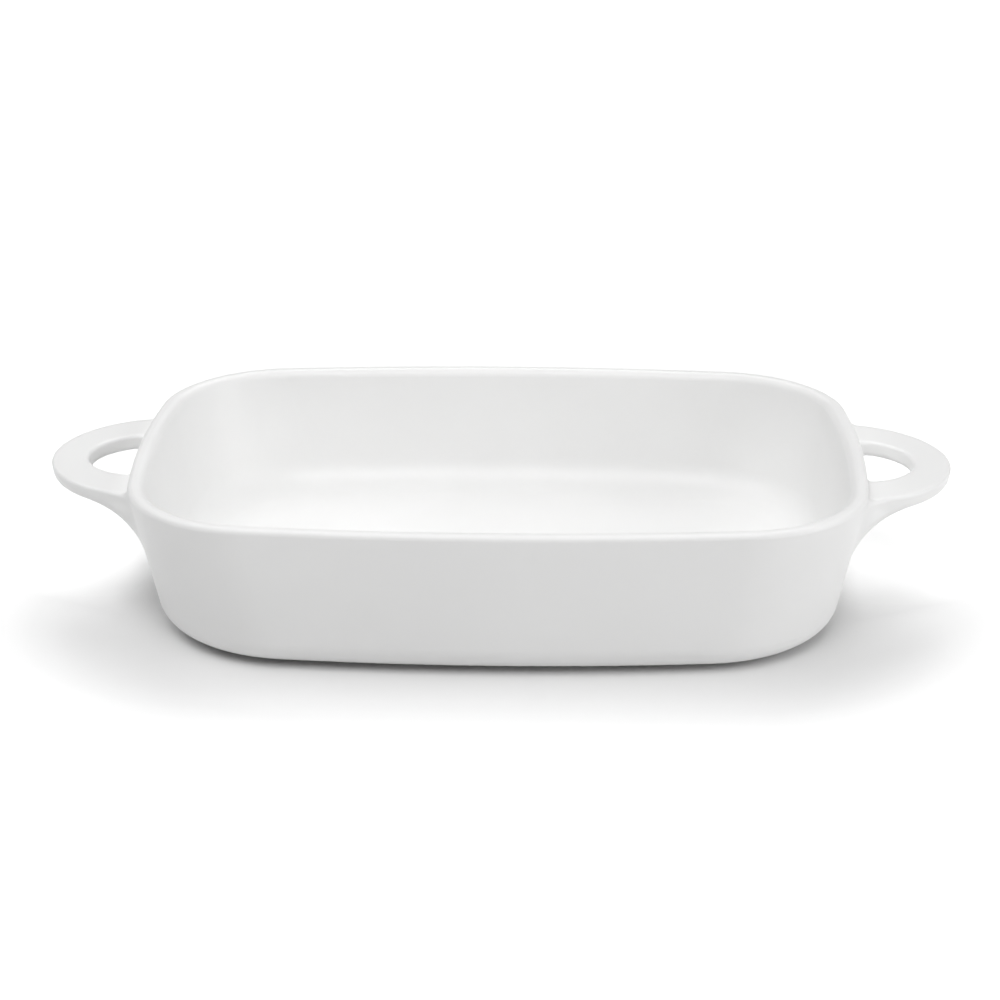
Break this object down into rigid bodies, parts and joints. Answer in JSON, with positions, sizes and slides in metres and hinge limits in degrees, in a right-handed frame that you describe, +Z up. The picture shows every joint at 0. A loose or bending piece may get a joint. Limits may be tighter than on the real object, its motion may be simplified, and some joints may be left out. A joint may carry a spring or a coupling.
{
  "type": "lasagna dish",
  "caption": "White glazed ceramic oven dish, a deep rounded-rectangle basin with bowed sides, a low foot ring and a flat loop handle at each end.",
  "frame": {"origin": "on the table, under the middle of the basin", "axes": "+X along the dish towards the right handle, +Y to the back, +Z up"},
  "size_m": [0.4094, 0.2274, 0.069],
  "materials": {
    "white_glaze": "smooth white glaze with a soft gloss",
    "bare_foot": "unglazed, matte and slightly rough"
  },
  "bodies": {
    "root": {"basin": "white_glaze", "left_handle": "white_glaze", "right_handle": "white_glaze", "foot_ring": "bare_foot"}
  },
  "joints": []
}
